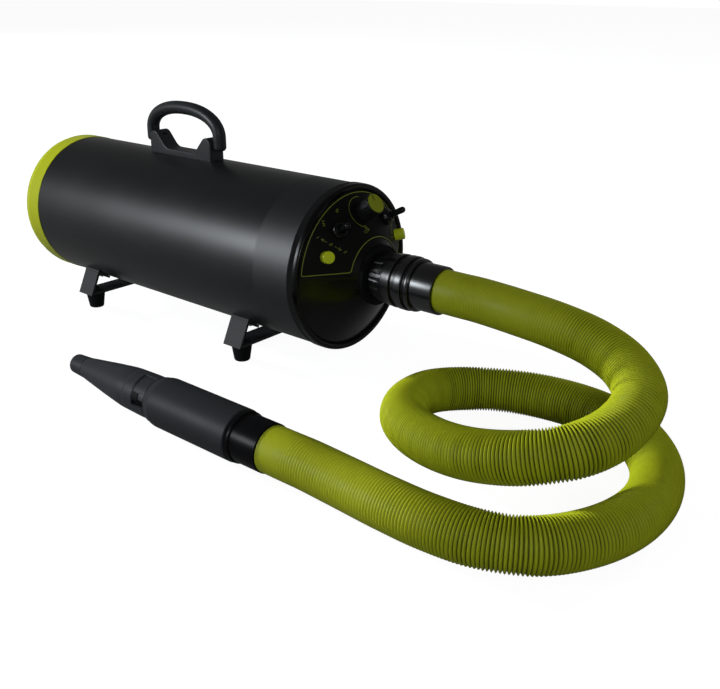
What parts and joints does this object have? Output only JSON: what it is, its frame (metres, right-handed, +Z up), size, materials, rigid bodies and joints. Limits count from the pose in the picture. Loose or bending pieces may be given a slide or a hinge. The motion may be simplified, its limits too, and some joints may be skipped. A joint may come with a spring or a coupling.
{
  "type": "pet dryer",
  "caption": "Forced-air pet dryer: black steel barrel with a lime rear cap, folding handle, sloped control face, ribbed lime hose and a hand wand with a twist-off nozzle.",
  "frame": {"origin": "on the floor at the centre of the four rubber feet", "axes": "+X along the barrel to the air outlet, +Z up, -Y towards the side where the wand lies"},
  "size_m": [0.8425, 0.3203, 0.2589],
  "materials": {
    "powder_black": "satin",
    "gloss_black": "gloss",
    "overlay_black": "gloss",
    "lime_gloss": "gloss",
    "satin_black": "satin",
    "strap_grey": "matt",
    "rubber_black": "matt",
    "hose_lime": "satin",
    "foam_grey": "matt",
    "zinc_steel": "satin",
    "cast_alu": "cast",
    "copper": "enamelled",
    "heater_wire": "oxidised",
    "mica": "matt",
    "board_green": "satin"
  },
  "bodies": {
    "root": {"barrel": "powder_black", "front_collar": "powder_black", "front_cap": "gloss_black", "control_overlay": "overlay_black", "rear_cap": "lime_gloss", "intake_grille": "satin_black", "intake_filter": "foam_grey", "handle_base": "satin_black", "handle_screws": "zinc_steel", "bail_pivots": "zinc_steel", "leg_strap_front": "strap_grey", "leg_strap_rear": "strap_grey", "foot_front_left": "rubber_black", "foot_front_right": "rubber_black", "foot_rear_left": "rubber_black", "foot_rear_right": "rubber_black", "foot_screws": "zinc_steel", "strap_rivets": "zinc_steel", "outlet_seal": "rubber_black", "outlet_spout": "gloss_black", "bayonet_band": "gloss_black", "hose_cuff_outlet": "gloss_black", "hose": "hose_lime", "hose_cuff_wand": "gloss_black", "grip_sleeve": "satin_black", "wand_tube": "satin_black", "toggle_body_left": "satin_black", "toggle_body_right": "satin_black", "dress_nuts": "satin_black", "speed_control": "zinc_steel", "speed_nut": "zinc_steel", "breaker_left": "satin_black", "breaker_right": "satin_black", "motor_bulkhead": "zinc_steel", "motor_gasket": "rubber_black", "fan_housing": "zinc_steel", "diffuser": "cast_alu", "motor_frame": "cast_alu", "stator": "copper", "motor_bearings": "zinc_steel", "brush_holders": "copper", "tail_mount": "rubber_black", "heater_frame": "mica", "heater_coil": "heater_wire", "foam_liner": "foam_grey", "control_board": "board_green", "cable_gland": "satin_black", "gland_nut": "satin_black"},
    "toggle_left": {"toggle_lever_left": "satin_black"},
    "toggle_right": {"toggle_lever_right": "satin_black"},
    "knob": {"speed_knob": "gloss_black", "knob_disc": "lime_gloss", "speed_shaft": "zinc_steel"},
    "button_left": {"reset_button_left": "lime_gloss"},
    "button_right": {"reset_button_right": "lime_gloss"},
    "nozzle_body": {"nozzle": "satin_black", "nozzle_tip": "satin_black"},
    "rotor": {"impeller": "cast_alu", "armature": "zinc_steel"},
    "bail": {"handle_bail": "satin_black"}
  },
  "joints": [
    {"name": "toggle_left_lever", "type": "hinge", "parent": "root", "child": "toggle_left", "pos_m": [0.2573, 0.03657, 0.16271], "axis": [0, 0.7997, -0.6004], "range_deg": [-12, 12]},
    {"name": "toggle_right_lever", "type": "hinge", "parent": "root", "child": "toggle_right", "pos_m": [0.2573, -0.03657, 0.16271], "axis": [0, 0.7997, 0.6004], "range_deg": [-12, 12]},
    {"name": "speed_knob_turn", "type": "hinge", "parent": "root", "child": "knob", "pos_m": [0.26422, 0, 0.17966], "axis": [0.8241, 0, 0.5664], "range_deg": [-135, 135]},
    {"name": "reset_button_left_press", "type": "slide", "parent": "root", "child": "button_left", "axis": [-0.8241, -0.5117, -0.243], "range_m": [0, 0.0025], "stiffness_N_per_m": 400},
    {"name": "reset_button_right_press", "type": "slide", "parent": "root", "child": "button_right", "axis": [-0.8241, 0.5117, -0.243], "range_m": [0, 0.0025], "stiffness_N_per_m": 400},
    {"name": "nozzle_twist", "type": "hinge", "parent": "root", "child": "nozzle_body", "pos_m": [0.15, -0.209, 0.0241], "axis": [-1, 0, 0], "range_deg": [0, 16]},
    {"name": "motor_spin", "type": "hinge", "parent": "root", "child": "rotor", "pos_m": [-0.1, 0, 0.114], "axis": [1, 0, 0], "continuous": true},
    {"name": "carry_handle_fold", "type": "hinge", "parent": "root", "child": "bail", "pos_m": [-0.0045, 0, 0.217], "axis": [1, 0, 0], "range_deg": [-90, 90]}
  ]
}
